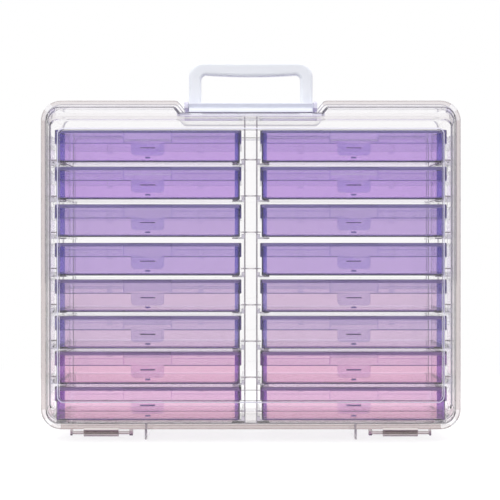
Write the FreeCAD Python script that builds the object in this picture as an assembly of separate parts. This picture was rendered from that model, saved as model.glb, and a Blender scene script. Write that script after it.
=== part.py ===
import FreeCAD, Part
import math
import os

os.makedirs("parts", exist_ok=True)
V = FreeCAD.Vector

# A carrying case of clear plastic that holds sixteen small tinted photo cases in two columns.
# Millimetres. +Z is up, the front faces -Y, and the case stands on Z = 0.

# Outer case, measured over its walls
wall = 2.0
case_width = 364.0
case_height = 282.0
case_depth = 127.0
lid_depth = 32.0
corner_r = 11.0
inner_corner_cut = 5.4
parting_gap = 0.3
overrun = 1.0

# Raised panel on the front and on the back, and the sloped shoulder round the lid
panel_width = 341.6
panel_height = 242.6
panel_corner_r = 6.0
panel_rise = 1.0
pocket_corner_cut = 3.0
shoulder_top = 12.1
shoulder_side = 4.5
shoulder_depth = 10.0
shoulder_corner_r = 5.0

# Rim where the two halves meet, with a bead that runs back round the body
rim_reach = 7.2
rim_thick = 2.2
bead_thick = 2.6
bead_depth = 8.4
bead_inner_cut = 8.6
lid_rim_set_back = 0.3

# Channel across the top for the handle, and the wider notch in the rim above it
channel_half_width = 62.8
channel_flare = 4.5
channel_drop = 5.8
channel_r = 3.0
rim_notch_half_width = 56.6
rim_notch_flare = 9.8
rim_notch_lift = 1.5
rim_notch_r = 5.0

# Foot ribs under the body
foot_height = 16.5
foot_thick = 2.2
foot_spacing = 189.0
foot_tip_cut = 0.6
foot_end_set_in = 4.0

# Two snap hinges under the rim: ears and a rod on the body, a clip on the lid
hinge_drop = 9.9
hinge_centre = 134.6
hinge_rod_r = 1.6
hinge_fit = 0.1
hinge_outer_ear_thick = 1.8
hinge_inner_ear_thick = 3.2
hinge_outer_ear_reach = 26.8
hinge_inner_ear_reach = 27.0
hinge_ear_reach = 2.6
hinge_ear_cut = 1.6
hinge_ear_back = 7.0
clip_width = 31.4
clip_wall = 1.8
clip_side_gap = 1.0
clip_swing_gap = 0.5
clip_mouth_low_deg = 10.0
clip_mouth_high_deg = 82.0

# Divider between the two columns
divider_gap = 9.5
divider_thick = 1.3
divider_proud = 8.5
divider_end_gap = 1.0

# Ledges that carry the photo cases, and ribs that keep them in line
ledge_thick = 1.3
ledge_floor_gap = 0.3
ledge_reach_side = 13.3
ledge_reach_middle = 10.7
ledge_nose_cut = 5.0
ledge_rim_height = 3.0
ledge_rim_side = 3.0
ledge_rim_middle = 2.2
rung_count = 7
rung_pitch = 32.5
rung_low = 40.4
rung_thick = 1.2
rung_depth = 8.0
rung_reach_side = 5.6
rung_reach_middle = 3.1

# Photo case: a tray with a snap lid, sized to take prints of 152 by 102
tray_width = 163.3
tray_depth = 107.5
tray_height = 27.4
tray_wall = 1.3
tray_corner_r = 4.5
tray_rear_cut = 3.5
tray_inner_cut = 3.0
case_seat_gap = 0.3
case_set_back = 12.0
case_centre = 91.4
cover_gap = 0.3
cover_top = 1.3
cover_side = 1.1
cover_band_proud = 0.6
cover_band_height = 6.4
cover_skirt_height = 12.6
cover_panel_width = 41.6
cover_panel_proud = 0.5
cover_panel_margin = 0.8
tab_width = 29.2
tab_drop = 10.4
tab_thick = 2.4
tab_gap = 0.5
tab_root = 4.0
tab_corner_cut = 3.0
slot_width = 14.2
slot_height = 2.0
slot_drop = 2.6
catch_gap = 0.4
catch_proud = 1.6
knuckle_spacing = 87.0
knuckle_width = 5.0
knuckle_drop = 2.4
knuckle_thick = 1.4

# Height of each row's ledges, from the top row down, as shares of the stack of rows
row_stack = 228.4
row_shares = (1.0, 0.856, 0.71, 0.56, 0.418, 0.276, 0.138, 0.0)

# Handle, which folds back into the channel
handle_width = 112.0
handle_rise = 41.2
handle_thick = 10.0
handle_leg = 11.2
handle_bar_top = 4.8
handle_grip = 11.6
handle_grip_bulge = 1.5
handle_corner_r = 13.0
handle_window_r = 4.5
handle_edge_cut = 1.4
handle_clear = 0.4
handle_set_back = 9.5
handle_pin_r = 2.6

# Latch bar in front of the handle
latch_width = 111.2
latch_barrel_r = 2.6
latch_drop = 5.6
latch_plate = 2.2
latch_lip_proud = 1.6
latch_lip_height = 1.6
latch_forward = 1.9
latch_pin_r = 1.7
latch_end_taper = 1.6

# Ears at both ends of the channel, which carry the handle and the latch
ear_thick = 3.2
ear_gap = 0.4
ear_wall = 2.0
lid_ear_gap = 1.0
pin_fit = 0.1

# Places worked out from the sizes
y_front = -case_depth / 2
y_back = case_depth / 2
y_part = y_front + lid_depth
y_body = y_part + parting_gap / 2
y_lid = y_part - parting_gap / 2
z_low = foot_height
z_high = z_low + case_height
z_mid = z_low + case_height / 2
half_width = case_width / 2
half_height = case_height / 2
y_lid_face = y_front + panel_rise
y_back_face = y_back - panel_rise
y_inner_back = y_back_face - wall
x_inner = half_width - wall
z_floor = z_low + wall
z_channel = z_high - channel_drop
z_rim_notch = z_channel + rim_notch_lift
x_divider = divider_gap / 2 + divider_thick
y_divider = y_part - divider_proud
z_bottom_row = z_floor + ledge_floor_gap + ledge_thick + case_seat_gap
y_tray = y_front + case_set_back
z_hinge = z_low - hinge_drop
z_handle = z_rim_notch + handle_clear + handle_thick / 2
y_handle = y_part + handle_set_back
z_latch = z_rim_notch + handle_clear + latch_drop
y_latch = y_part - latch_forward

FRONT = (lambda a, b: V(a, 0, b), V(0, 1, 0))
PLAN = (lambda a, b: V(a, b, 0), V(0, 0, 1))
SIDE = (lambda a, b: V(0, a, b), V(1, 0, 0))


def rounded_wire(corners, lay):
    """A closed wire through corners (a, b, r), laid in the plane that lay gives.

    r rounds the corner, 0 leaves it sharp, and a value below zero cuts it across by that much.
    """
    points = [lay(a, b) for a, b, _ in corners]
    ends = []
    for i, (_, _, r) in enumerate(corners):
        here = points[i]
        to_last = (points[i - 1] - here).normalize()
        to_next = (points[(i + 1) % len(points)] - here).normalize()
        if r <= 0:
            ends.append((here - to_last * r, None, here - to_next * r))
            continue
        half = math.acos(to_last.dot(to_next)) / 2
        middle = (to_last + to_next).normalize()
        centre = here + middle * (r / math.sin(half))
        run = r / math.tan(half)
        ends.append((here + to_last * run, centre - middle * r, here + to_next * run))
    edges = []
    for i, (start, bend, end) in enumerate(ends):
        if bend is not None:
            edges.append(Part.Arc(start, bend, end).toShape())
        elif start != end:
            edges.append(Part.LineSegment(start, end).toShape())
        edges.append(Part.LineSegment(end, ends[(i + 1) % len(ends)][0]).toShape())
    return Part.Wire(edges)


def rect(a0, a1, b0, b1, r=0):
    return [(a0, b0, r), (a1, b0, r), (a1, b1, r), (a0, b1, r)]


def slab(corners, view, low, high):
    """The outline in a view, made solid between two places across that view."""
    lay, across = view
    solid = Part.Face(rounded_wire(corners, lay)).extrude(across * (high - low))
    solid.translate(across * low)
    return solid


def block(x0, x1, y0, y1, z0, z1):
    return Part.makeBox(x1 - x0, y1 - y0, z1 - z0, V(x0, y0, z0))


def rod(r, x0, x1, y, z):
    return Part.makeCylinder(r, x1 - x0, V(x0, y, z), V(1, 0, 0))


def both_sides(make):
    """The piece that make builds at +X, and its mirror image at -X."""
    piece = make()
    return [piece, piece.mirror(V(0, 0, 0), V(1, 0, 0))]


def joined(first, others):
    return first.fuse(others).removeSplitter()


def notched(half_w, low, high, r, notch_half, flare, floor, notch_r):
    """Front view of the case: a rounded rectangle with a flared notch in its top edge."""
    return [
        (-half_w, low, r),
        (half_w, low, r),
        (half_w, high, r),
        (notch_half + flare, high, notch_r),
        (notch_half, floor, notch_r),
        (-notch_half, floor, notch_r),
        (-notch_half - flare, high, notch_r),
        (-half_w, high, r),
    ]


def wall_outline(skin):
    """The outline of the walls, moved inwards by skin all round."""
    slope = math.hypot(channel_flare, channel_drop)
    side_shift = skin * (slope - channel_flare) / channel_drop
    return notched(
        half_width - skin,
        z_low + skin,
        z_high - skin,
        -inner_corner_cut if skin else corner_r,
        channel_half_width + side_shift,
        channel_flare,
        z_channel - skin,
        0 if skin else channel_r,
    )


def rim_outline(set_back, notch_half):
    return notched(
        half_width + rim_reach - set_back,
        z_low - rim_reach + set_back,
        z_high + rim_reach - set_back,
        -bead_inner_cut if set_back == bead_thick else corner_r + rim_reach - set_back,
        notch_half,
        rim_notch_flare,
        z_rim_notch,
        0 if set_back == bead_thick else rim_notch_r,
    )


def panel_outline(skin):
    return rect(
        -panel_width / 2 + skin,
        panel_width / 2 - skin,
        z_mid - panel_height / 2 + skin,
        z_mid + panel_height / 2 - skin,
        -pocket_corner_cut if skin else panel_corner_r,
    )


def shoulder_block(skin):
    """The space behind the lid's sloped shoulder, moved inwards by skin."""
    y_face = y_lid_face + skin
    y_start = y_lid_face + shoulder_depth
    wires = []
    for y in (y_face, y_part):
        run = (y_start - y) / shoulder_depth
        skew_side = skin * math.hypot(shoulder_side, shoulder_depth) / shoulder_depth
        skew_top = skin * math.hypot(shoulder_top, shoulder_depth) / shoulder_depth
        half_w = half_width - shoulder_side * run - skew_side
        half_h = half_height - shoulder_top * run - skew_top
        r = 0 if skin else shoulder_corner_r + (y - y_face) * corner_r / lid_depth
        wire = rounded_wire(rect(-half_w, half_w, z_mid - half_h, z_mid + half_h, r), FRONT[0])
        wire.translate(V(0, y, 0))
        wires.append(wire)
    return Part.makeLoft(wires, True, True)


def row_base(row):
    return z_bottom_row + row_stack * row_shares[row]


def ledges():
    """The ledges on the side walls and on the divider, one pair for each case."""
    pieces = []
    for row in range(len(row_shares)):
        top = row_base(row) - case_seat_gap
        bottom = top - ledge_thick
        places = (
            (x_inner, -1, ledge_reach_side, ledge_rim_side, y_body),
            (x_divider, 1, ledge_reach_middle, ledge_rim_middle, y_divider),
        )
        for x_wall, way, reach, rim, y_start in places:
            x_root = x_wall - way * wall / 2
            if x_wall == x_divider:
                x_root = x_wall - divider_thick / 2
            x_tip = x_wall + way * reach
            corners = [
                (x_root, y_start, 0),
                (x_tip - way * ledge_nose_cut, y_start, 0),
                (x_tip, y_start + ledge_nose_cut, 0),
                (x_tip, y_back_face - wall / 2, 0),
                (x_root, y_back_face - wall / 2, 0),
            ]
            pieces += both_sides(lambda: slab(corners, PLAN, bottom, top))
            low_x, high_x = sorted((x_root, x_wall + way * rim))
            pieces += both_sides(
                lambda: block(
                    low_x, high_x, y_start, y_back_face - wall / 2, bottom, top + ledge_rim_height
                )
            )
    return pieces


def rungs():
    """Thin ribs beside each row: across the divider, and on the side walls."""
    pieces = []
    for i in range(rung_count):
        z = z_low + rung_low + i * rung_pitch
        tip = x_divider + rung_reach_middle
        pieces.append(
            block(-tip, tip, y_divider, y_divider + rung_depth, z - rung_thick / 2, z + rung_thick / 2)
        )
        pieces += both_sides(
            lambda: block(
                x_inner - rung_reach_side,
                x_inner + wall / 2,
                y_body,
                y_body + rung_depth,
                z - rung_thick / 2,
                z + rung_thick / 2,
            )
        )
    return pieces


def divider_wall():
    """One wall of the divider. Its front edge stands into the lid, clear of the lid's walls."""
    behind = block(
        divider_gap / 2, x_divider, y_body, y_back_face - wall / 2, z_low + wall / 2, z_channel - wall / 2
    )
    low, high = z_floor + divider_end_gap, z_channel - wall - divider_end_gap
    return behind.fuse(block(divider_gap / 2, x_divider, y_divider, y_body, low, high))


def foot():
    inner, outer = foot_spacing / 2 - foot_thick / 2, foot_spacing / 2 + foot_thick / 2
    top = z_low + wall / 2
    corners = [
        (inner, 0, -foot_tip_cut),
        (outer, 0, -foot_tip_cut),
        (outer, top, 0),
        (inner, top, 0),
    ]
    return slab(corners, FRONT, y_body + rim_thick / 2, y_back_face - foot_end_set_in)


def hinge_ear(x_centre, thick):
    """A body ear: a lobe at the end of the rod, on an arm that comes down behind the rim."""
    reach = hinge_ear_reach
    corners = [
        (y_part - reach, z_hinge - reach, -hinge_ear_cut),
        (y_part + reach, z_hinge - reach, -hinge_ear_cut),
        (y_body + hinge_ear_back, z_hinge + reach, 0),
        (y_body + hinge_ear_back, z_low + wall / 2, 0),
        (y_body, z_low + wall / 2, 0),
        (y_body, z_hinge + reach, 0),
        (y_part - reach, z_hinge + reach, -hinge_ear_cut),
    ]
    return slab(corners, SIDE, x_centre - thick / 2, x_centre + thick / 2)


def hinge_on_body():
    outer = hinge_centre + hinge_outer_ear_reach
    inner = hinge_centre - hinge_inner_ear_reach
    ears = [hinge_ear(outer, hinge_outer_ear_thick), hinge_ear(inner, hinge_inner_ear_thick)]
    return rod(hinge_rod_r, inner, outer, y_part, z_hinge).fuse(ears)


def hinge_relief():
    """Room in the body's rim for the lid's clip to turn."""
    half = clip_width / 2 + clip_side_gap
    top = z_hinge + hinge_rod_r + hinge_fit + clip_wall + clip_swing_gap
    return block(
        hinge_centre - half,
        hinge_centre + half,
        y_body - overrun,
        y_body + bead_depth + overrun,
        z_hinge,
        top,
    )


def hinge_clip():
    """The lid's clip: a ring round the rod, open towards the body, on an arm from the rim."""
    low, high = hinge_centre - clip_width / 2, hinge_centre + clip_width / 2
    bore_r = hinge_rod_r + hinge_fit
    ring_r = bore_r + clip_wall
    ring = rod(ring_r, low, high, y_part, z_hinge)
    reach = 2 * ring_r
    mouth = [(y_part, z_hinge, 0)]
    for angle in (clip_mouth_low_deg, clip_mouth_high_deg):
        turn = math.radians(angle)
        mouth.append((y_part + reach * math.cos(turn), z_hinge + reach * math.sin(turn), 0))
    arm = block(low, high, y_lid - rim_thick, y_lid, z_hinge, z_low - rim_reach + wall)
    ring = ring.cut(slab(mouth, SIDE, low - overrun, high + overrun))
    return ring.fuse(arm).cut(rod(bore_r, low - overrun, high + overrun, y_part, z_hinge))


def channel_ear():
    """An ear at the end of the channel, which carries the handle's pin and the latch's pin."""
    low = handle_width / 2 + ear_gap
    high = low + ear_thick
    behind = y_handle + handle_pin_r + ear_wall
    before = y_latch - latch_pin_r - ear_wall
    crown = z_handle + handle_pin_r + ear_wall
    corners = [
        (behind, z_channel - wall / 2, 0),
        (behind, z_handle, 0),
        (behind - ear_wall, crown, 0),
        (before + ear_wall, crown, 0),
        (before, z_latch, 0),
        (before, z_latch - latch_pin_r, 0),
        (y_body, z_rim_notch + handle_clear, 0),
        (y_body, z_channel - wall / 2, 0),
    ]
    return slab(corners, SIDE, low, high)


def ear_bores():
    """The bores of an ear, which run on outwards so that nothing behind them blocks a pin."""
    low = handle_width / 2 + ear_gap - overrun
    high = handle_width / 2 + ear_gap + ear_thick + overrun
    return rod(handle_pin_r + pin_fit, low, high, y_handle, z_handle).fuse(
        rod(latch_pin_r + pin_fit, low, high, y_latch, z_latch)
    )


def make_body():
    shell = slab(wall_outline(0), FRONT, y_body, y_back_face)
    rim = slab(rim_outline(0, rim_notch_half_width), FRONT, y_body, y_body + rim_thick)
    bead = slab(rim_outline(0, rim_notch_half_width), FRONT, y_body, y_body + bead_depth)
    bead_hollow = slab(
        rim_outline(bead_thick, rim_notch_half_width + bead_thick),
        FRONT,
        y_body - overrun,
        y_body + bead_depth + overrun,
    )
    panel = slab(panel_outline(0), FRONT, y_back_face - wall / 2, y_back)
    body = shell.fuse([rim, bead.cut(bead_hollow), panel])
    hollow = slab(wall_outline(wall), FRONT, y_body - overrun, y_inner_back)
    pocket = slab(panel_outline(wall), FRONT, y_inner_back - overrun, y_back - wall)
    body = body.cut([hollow, pocket] + both_sides(hinge_relief))
    inside = ledges() + rungs() + both_sides(divider_wall)
    outside = both_sides(foot) + both_sides(hinge_on_body) + both_sides(channel_ear)
    return joined(body, inside + outside).cut(both_sides(ear_bores))


def make_front_lid():
    outer = slab(wall_outline(0), FRONT, y_front, y_lid).common(shoulder_block(0))
    hollow = slab(wall_outline(wall), FRONT, y_front, y_lid + overrun).common(shoulder_block(wall))
    ear_end = handle_width / 2 + ear_gap + ear_thick + lid_ear_gap
    rim = slab(rim_outline(lid_rim_set_back, ear_end), FRONT, y_lid - rim_thick, y_lid)
    panel = slab(panel_outline(0), FRONT, y_front, y_lid_face + wall / 2)
    lid = outer.fuse([rim, panel])
    mouth = slab(wall_outline(wall), FRONT, y_lid - rim_thick - overrun, y_lid + overrun)
    pocket = slab(panel_outline(wall), FRONT, y_front + wall, y_lid_face + wall + overrun)
    lid = lid.cut([hollow, mouth, pocket])
    return joined(lid, both_sides(hinge_clip))


def make_handle():
    half = handle_width / 2
    top = z_handle + handle_rise
    near, far = y_handle - handle_thick / 2, y_handle + handle_thick / 2
    loop = slab(
        [
            (-half, z_handle, 0),
            (half, z_handle, 0),
            (half, top, handle_corner_r),
            (-half, top, handle_corner_r),
        ],
        FRONT,
        near,
        far,
    )
    inner = half - handle_leg
    sill = z_handle + handle_bar_top
    grip = top - handle_grip
    window = [
        (-inner, sill, 0),
        (inner, sill, 0),
        (inner, grip, handle_window_r),
        (0, grip - handle_grip_bulge, half),
        (-inner, grip, handle_window_r),
    ]
    loop = loop.cut(slab(window, FRONT, near - overrun, far + overrun))
    rims = [
        e
        for e in loop.Edges
        if e.BoundBox.YLength < handle_edge_cut / 2 and e.BoundBox.ZMin > sill - handle_edge_cut / 2
    ]
    loop = loop.makeChamfer(handle_edge_cut, rims)
    base = rod(handle_thick / 2, -half, half, y_handle, z_handle)
    pin_end = half + ear_gap + ear_thick
    pins = both_sides(lambda: rod(handle_pin_r, half - handle_leg / 2, pin_end, y_handle, z_handle))
    return joined(loop, [base] + pins)


def make_latch():
    half = latch_width / 2
    plate_front = y_latch - latch_barrel_r
    z_edge = z_latch - latch_drop
    lip_top = z_edge + latch_lip_height
    corners = [
        (plate_front, z_latch, 0),
        (plate_front, lip_top + latch_lip_proud, 0),
        (plate_front - latch_lip_proud, lip_top, 0),
        (plate_front - latch_lip_proud, z_edge, 0),
        (plate_front + latch_plate, z_edge, 0),
        (plate_front + latch_plate, z_latch, 0),
    ]
    plate = slab(corners, SIDE, -half, half)
    ends = [
        (-half, z_latch, 0),
        (-half, z_edge + latch_end_taper, 0),
        (-half + latch_end_taper, z_edge - overrun, 0),
        (half - latch_end_taper, z_edge - overrun, 0),
        (half, z_edge + latch_end_taper, 0),
        (half, z_latch, 0),
    ]
    plate = plate.common(slab(ends, FRONT, plate_front - latch_lip_proud - overrun, y_latch + overrun))
    barrel = rod(latch_barrel_r, -half, half, y_latch, z_latch)
    pin_end = handle_width / 2 + ear_gap + ear_thick
    pin = rod(latch_pin_r, -pin_end, pin_end, y_latch, z_latch)
    return joined(plate, [barrel, pin])


def case_slab(grow, front_r, rear_r, low, high):
    """The outline of a photo case, let out by grow all round, between two heights."""
    half = tray_width / 2 + grow
    near, far = y_tray - grow, y_tray + tray_depth + grow
    corners = [(-half, near, front_r), (half, near, front_r), (half, far, rear_r), (-half, far, rear_r)]
    return slab(corners, PLAN, low, high)


def case_shell(grow, low, high):
    return case_slab(grow, tray_corner_r + grow, -tray_rear_cut, low, high)


def case_hollow(grow, low, high):
    return case_slab(grow, -tray_inner_cut, -tray_inner_cut, low, high)


def make_tray():
    """A photo case's tray, with the middle of its width at X = 0 and its underside at Z = 0."""
    shell = case_shell(0, 0, tray_height)
    shell = shell.cut(case_hollow(-tray_wall, tray_wall, tray_height + overrun))
    z_slot = tray_height + cover_gap + cover_top - cover_skirt_height - slot_drop
    catch_half = slot_width / 2 - catch_gap
    catch = [
        (y_tray + tray_wall / 2, z_slot - slot_height + catch_gap, 0),
        (y_tray - catch_proud, z_slot - slot_height + catch_gap, 0),
        (y_tray, z_slot - catch_gap, 0),
        (y_tray + tray_wall / 2, z_slot - catch_gap, 0),
    ]
    return joined(shell, [slab(catch, SIDE, -catch_half, catch_half)])


def make_cover():
    """The snap lid of a photo case: a top with a stepped skirt, a front tab and two rear knuckles."""
    top = tray_height + cover_gap + cover_top
    skirt_low = top - cover_skirt_height
    band_top = skirt_low + cover_band_height
    inner_grow = cover_gap
    upper_grow = inner_grow + cover_side
    band_grow = upper_grow + cover_band_proud
    y_face = y_tray - band_grow
    half_panel = cover_panel_width / 2
    z_tab = skirt_low - tab_drop
    y_tab_back = y_tray - tab_gap
    tab_corners = [
        (-tab_width / 2, z_tab, -tab_corner_cut),
        (tab_width / 2, z_tab, -tab_corner_cut),
        (tab_width / 2, skirt_low + tab_root, 0),
        (-tab_width / 2, skirt_low + tab_root, 0),
    ]
    tab = slab(tab_corners, FRONT, y_tab_back - tab_thick, y_tab_back)
    z_slot = skirt_low - slot_drop
    slot = block(
        -slot_width / 2,
        slot_width / 2,
        y_tab_back - tab_thick - overrun,
        y_tab_back + overrun,
        z_slot - slot_height,
        z_slot,
    )
    front_panel = block(
        -half_panel,
        half_panel,
        y_face - cover_panel_proud,
        y_face + cover_side,
        skirt_low + cover_panel_margin,
        top - cover_panel_margin,
    )
    y_rear = y_tray + tray_depth + upper_grow
    x_flat = tray_width / 2 - tray_corner_r
    band = block(-x_flat, x_flat, y_face, y_tray - inner_grow, skirt_low, band_top)
    x_knuckle = knuckle_spacing / 2
    knuckles = both_sides(
        lambda: block(
            x_knuckle - knuckle_width / 2,
            x_knuckle + knuckle_width / 2,
            y_rear - upper_grow,
            y_rear + knuckle_thick,
            skirt_low - knuckle_drop,
            band_top,
        )
    )
    cover = case_shell(upper_grow, skirt_low, top)
    cover = joined(cover, [front_panel, tab.cut(slot), band] + knuckles)
    hollow = case_hollow(inner_grow, skirt_low - tab_drop - overrun, top - cover_top)
    return cover.cut(hollow).removeSplitter()


def save(name, shape):
    solids = shape.Solids
    if len(solids) != 1 or not shape.isValid():
        print("CHECK", name, "solids", len(solids), "valid", shape.isValid())
    solids[0].exportStep("parts/" + name + ".step")


save("outer_body", make_body())
save("front_lid", make_front_lid())
save("carry_handle", make_handle())
save("top_latch", make_latch())
tray = make_tray()
cover = make_cover()
for column, side in (("left", -1), ("right", 1)):
    for row in range(len(row_shares)):
        place = V(side * case_centre, 0, row_base(row))
        save("tray_%s_%d" % (column, row + 1), tray.translated(place))
        save("cover_%s_%d" % (column, row + 1), cover.translated(place))
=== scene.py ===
import math

import bmesh
import bpy
from mathutils import Matrix, Vector


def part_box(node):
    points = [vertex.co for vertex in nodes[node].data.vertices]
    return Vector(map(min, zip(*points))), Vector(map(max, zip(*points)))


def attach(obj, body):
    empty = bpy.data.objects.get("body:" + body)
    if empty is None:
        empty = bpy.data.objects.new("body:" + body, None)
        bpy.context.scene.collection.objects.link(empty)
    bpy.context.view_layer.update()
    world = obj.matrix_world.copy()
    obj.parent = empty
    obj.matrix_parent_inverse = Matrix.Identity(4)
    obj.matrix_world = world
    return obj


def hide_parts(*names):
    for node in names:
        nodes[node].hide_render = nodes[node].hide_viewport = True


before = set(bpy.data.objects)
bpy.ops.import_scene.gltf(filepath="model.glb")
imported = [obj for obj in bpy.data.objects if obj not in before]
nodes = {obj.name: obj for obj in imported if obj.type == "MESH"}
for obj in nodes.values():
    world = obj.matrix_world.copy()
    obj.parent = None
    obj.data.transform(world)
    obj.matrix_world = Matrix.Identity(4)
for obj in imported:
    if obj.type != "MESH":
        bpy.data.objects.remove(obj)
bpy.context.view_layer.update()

scene = bpy.context.scene
MM = 0.001

# The studio
CAMERA_PLACE = Vector((-0.7, -1421.5, 171.0)) * MM
CAMERA_LENS, CAMERA_SENSOR, CAMERA_NEAR = 111.1, 36.0, 0.01
FLOOR_HALF = 6.0
FLOOR_LIFT = 0.80
FLOOR_PALE = 0.30
FLOOR_FADE = (0.3, 0.9)
WORLD_LIGHT = 1.15
FIELD_WHITE = (1.0, 1.0, 1.0)
FIELD_SIDE = (0.36, 0.34, 0.46)
FIELD_START = 0.14
FIELD_END = 0.60
LAMP_AIM = (0.0, 0.0, 0.2)
# Each lamp's place, size and power
KEY_LAMP = ((-0.9, -1.3, 1.5), 1.6, 8.0)
TOP_LAMP = ((0.2, 0.1, 1.8), 1.8, 5.0)
LIGHT_PATHS = 64
SHARP_ANGLE, TILT_LIMIT = 50.0, 0.985

# Plastics, as red, green and blue: the tint of one wall, the painted shade and painted highlight at its
# edges, and what a metre of it takes
CLEAR_TINT, CLEAR_LOSS = (0.995, 0.99, 0.992), (6.0, 6.5, 5.0)
# Painted shade for the clear halves: a warm grey on the bead and a dark grey on hinge, feet, rungs and
# divider, in place of the dark edges from refraction; and a pale tint painted as a highlight on the panel's
# edge and the channel ears
BEAD_PAINTED_SHADE, SHELL_PAINTED_SHADE, PAINTED_HIGHLIGHT_TINT = (0.70, 0.64, 0.63), (0.34, 0.31, 0.33), (0.88, 0.86, 1.0)
# The darkest painted shade, on the trays' catch and gate mark and on the covers' slot
DEEPEST_PAINTED_SHADE = (0.06, 0.03, 0.22)
# The latch's white is a darker copy of the handle's white: painted shade
HANDLE_WHITE, LATCH_SHADED_WHITE = (0.88, 0.90, 0.96), (0.80, 0.82, 0.90)
CLEAR_IOR, CASE_IOR, LINE_IOR, WHITE_IOR = 1.49, 1.32, 1.3, 1.5
LINE_CLEARNESS, LOSS_ROOM = 0.25, 1.05
# The surface's fine waves: how many to the metre, how strong, and the least and most roughness
WAVE_DETAIL, WAVE_HEIGHT = 3.0, 0.1
CLEAR_WAVES = (60.0, 0.03, 0.0, 0.02)
LINE_WAVES = (900.0, 0.10, 0.30, 0.45)
WHITE_WAVES = (900.0, 0.12, 0.30, 0.42)
TRAY_TINT = {
    "violet": (0.744, 0.593, 0.868),
    "lilac": (0.724, 0.614, 0.835),
    "lavender": (0.812, 0.702, 0.820),
    "pink": (0.904, 0.708, 0.812),
}
COVER_TINT = {
    "violet": (0.91, 0.915, 0.955),
    "lilac": (0.93, 0.93, 0.965),
    "lavender": (0.85, 0.855, 0.945),
    "pink": (0.85, 0.86, 0.93),
}
# Partly the tab's deeper colour where its plastic is thicker, and partly painted shade, which the cases'
# roundings, rear corners and covered walls take a share of
TAB_TINT = {
    "violet": (0.77, 0.74, 0.92),
    "lilac": (0.78, 0.76, 0.92),
    "lavender": (0.80, 0.79, 0.91),
    "pink": (0.85, 0.79, 0.90),
}
# Painted shade at the cases' corners, sides, steps, lip and tab outline, in place of the dark edges from
# refraction and inner reflection
EDGE_PAINTED_SHADE = {
    "violet": (0.26, 0.20, 0.62),
    "lilac": (0.26, 0.21, 0.62),
    "lavender": (0.32, 0.28, 0.62),
    "pink": (0.38, 0.20, 0.58),
}
# A painted dark band along the covers' top rim, in place of its dark refraction
RIM_PAINTED_SHADE = {
    "violet": (0.17, 0.14, 0.37),
    "lilac": (0.17, 0.13, 0.36),
    "lavender": (0.19, 0.13, 0.34),
    "pink": (0.21, 0.11, 0.31),
}
EDGE_LOSS = {
    "violet": (17.0, 19.0, 9.0),
    "lilac": (16.0, 18.0, 9.0),
    "lavender": (14.0, 17.0, 9.0),
    "pink": (15.0, 23.0, 10.0),
}
ROW_TINT = ("violet", "violet", "lilac", "lilac", "lavender", "lavender", "pink", "pink")

# How near to a surface a face counts as part of it, and how far behind a bead or rung its painted shade
# reaches
TOUCH, MARK_PAST = 0.1, 1.0
# How far each place takes its plastic's painted edge shade, from 0 at the open wall to 1, and the mark of a
# painted line: a highlight on the clear halves, a dark band on the covers' rim
EDGE_LINE = 2.0
# Shares of painted edge shade on the cases' faces, by place
CASE_SHADE_SHARE = {
    "mark": 1.0,
    "lip": 0.9,
    "corner": 0.67,
    "side": 0.6,
    "tab_outline": 0.6,
    "step": 0.5,
    "tab": 0.33,
    "rounding": 0.3,
    "under_cover": 0.1,
    "rear": 0.08,
}
# Shares of painted shade on the clear halves' faces, by place
SHELL_SHADE_SHARE = {
    "rung": 1.0,
    "foot": 0.9,
    "divider": 0.8,
    "hinge": 0.68,
    "bead": 0.5,
    "rounding": 0.15,
}

# Sizes of the pieces, in millimetres, nearly all as the solids have them
WALL = 2.0
HALF_WIDTH, LOW, HIGH = 182.0, 16.5, 298.5
MIDDLE_HEIGHT = (LOW + HIGH) / 2
Y_FRONT, Y_BACK = -63.5, 63.5
Y_PARTING = -31.5
PARTING_GAP = 0.3
PANEL_RISE, PANEL_BEVEL = 1.0, 0.5
CORNER_R = 11.0
PANEL_HALF = (170.8, 121.3)
PANEL_R, LEAST_PANEL_R = 6.0, 0.5
# How far each raised panel is drawn in at its foot, its bevel and its face
BACK_PANEL_INSETS, FRONT_PANEL_INSETS, INNER_PANEL_INSET = (-0.2, 0.0, 0.4), (0.0, 0.1, 1.2), 0.3
# Small roundings of the clear halves, inside and outside
PANEL_INNER_R, BACK_INNER_R, BACK_EDGE_R = 0.6, 1.5, 1.2
PARTING_R, LID_EDGE_R, BEAD_FOOT_R, RIM_FOOT_R = 0.4, 0.3, 0.6, 0.8
SHOULDER_SIDE, SHOULDER_TOP, SHOULDER_DEPTH, FACE_R = 4.5, 12.1, 10.0, 7.0
RIM_REACH, RIM_THICK = 7.2, 2.2
BEAD_THICK, BEAD_DEPTH, BEAD_ROUND = 3.8, 8.4, 1.1
LID_RIM_SET_BACK = 0.3
# Where the lid's outlines lie along its shoulder: 0 at the straight wall, 1 at the face
FACE_RUNS, SLOPE_RUNS, INNER_RUNS = (1.12, 1.0, 0.94), (0.75, 0.5, 0.25, 0.06), (0.0, 0.3, 0.6, 0.8, 0.86)
INNER_END, SLOPE_END, INNER_SLOPE_END = 0.9, 0.6, 0.8
CHANNEL_HALF, CHANNEL_FLARE, CHANNEL_FLOOR, CHANNEL_R = 62.8, 4.5, 292.7, 3.0
NOTCH_HALF, NOTCH_FLARE, NOTCH_FLOOR, NOTCH_R = 56.6, 9.8, 294.2, 5.0
LEAST_FLARE, LEAST_NOTCH_R = 1.5, 0.8
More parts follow.
